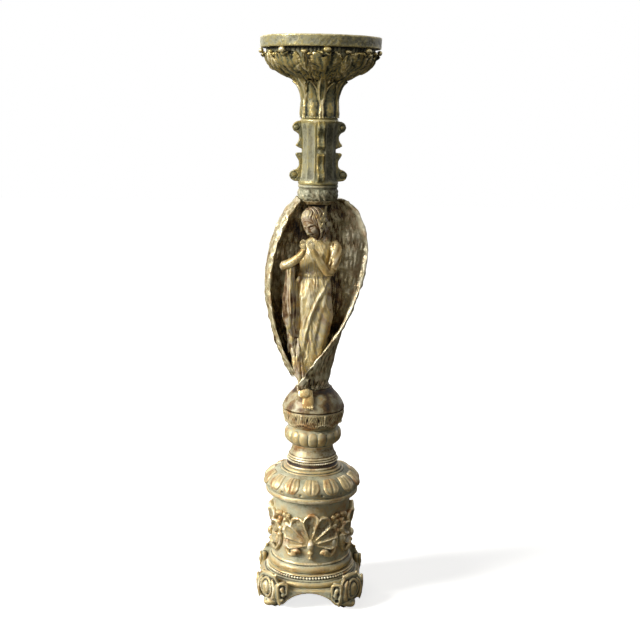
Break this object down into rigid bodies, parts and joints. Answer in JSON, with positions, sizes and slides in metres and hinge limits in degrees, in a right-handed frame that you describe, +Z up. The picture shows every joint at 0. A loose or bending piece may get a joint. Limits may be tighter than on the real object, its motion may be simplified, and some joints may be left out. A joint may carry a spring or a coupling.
{
  "type": "pillar candle stand",
  "caption": "Tall gilt torchere candle stand: shell-carved drum base, globe, winged praying figure as column, bracketed shaft, leaf capital and wide dish for a pillar candle.",
  "frame": {"origin": "on the floor under the centre of the base", "axes": "+Z up along the column, the figure faces -Y, +X to the right of someone who looks at the figure's face"},
  "size_m": [0.162, 0.162, 0.762],
  "materials": {
    "aged_resin": "cast resin painted grey-green with gold rubbed over the high places and dark wax in the hollows",
    "gilt_resin": "cast resin gilded in antique gold, worn to grey on the high places, brown wax in the hollows",
    "figure_gilt": "cast resin gilded in pale antique gold over grey, brown wax in the folds",
    "wing_gilt": "cast resin, dark brown wax over antique gold, pale gold rubbed on the edges of the feathers",
    "pan_brass": "thin pressed sheet, antique brass lacquer",
    "felt": "dark felt",
    "steel": "plain zinc-plated steel"
  },
  "bodies": {
    "root": {"felt_pads": "felt", "plinth": "aged_resin", "corner_front_left": "gilt_resin", "corner_front_right": "gilt_resin", "corner_back_right": "gilt_resin", "corner_back_left": "gilt_resin", "base_moulding": "aged_resin", "base_bead_string": "gilt_resin", "drum": "aged_resin", "shell_front": "gilt_resin", "shell_right": "gilt_resin", "shell_back": "gilt_resin", "shell_left": "gilt_resin", "dome": "aged_resin", "dome_leaf_border": "gilt_resin", "spool": "gilt_resin", "spool_bead_string": "gilt_resin", "gadroon_knop": "aged_resin", "leaf_cup": "aged_resin", "globe": "gilt_resin", "core_post": "aged_resin", "figure_gown": "figure_gilt", "figure_head": "figure_gilt", "arm_right": "figure_gilt", "arm_left": "figure_gilt", "mantle": "figure_gilt", "foot_front": "figure_gilt", "wing_right": "wing_gilt", "wing_left": "wing_gilt", "collar": "aged_resin", "shaft": "aged_resin", "bracket_front": "gilt_resin", "bracket_right": "gilt_resin", "bracket_back": "gilt_resin", "bracket_left": "gilt_resin", "capital": "aged_resin", "capital_leaf_ring": "gilt_resin", "candle_bowl": "aged_resin", "bowl_leaf_ring": "gilt_resin", "candle_pan": "pan_brass", "tie_rod": "steel", "tie_nuts": "steel", "tie_washers": "steel"}
  },
  "joints": []
}
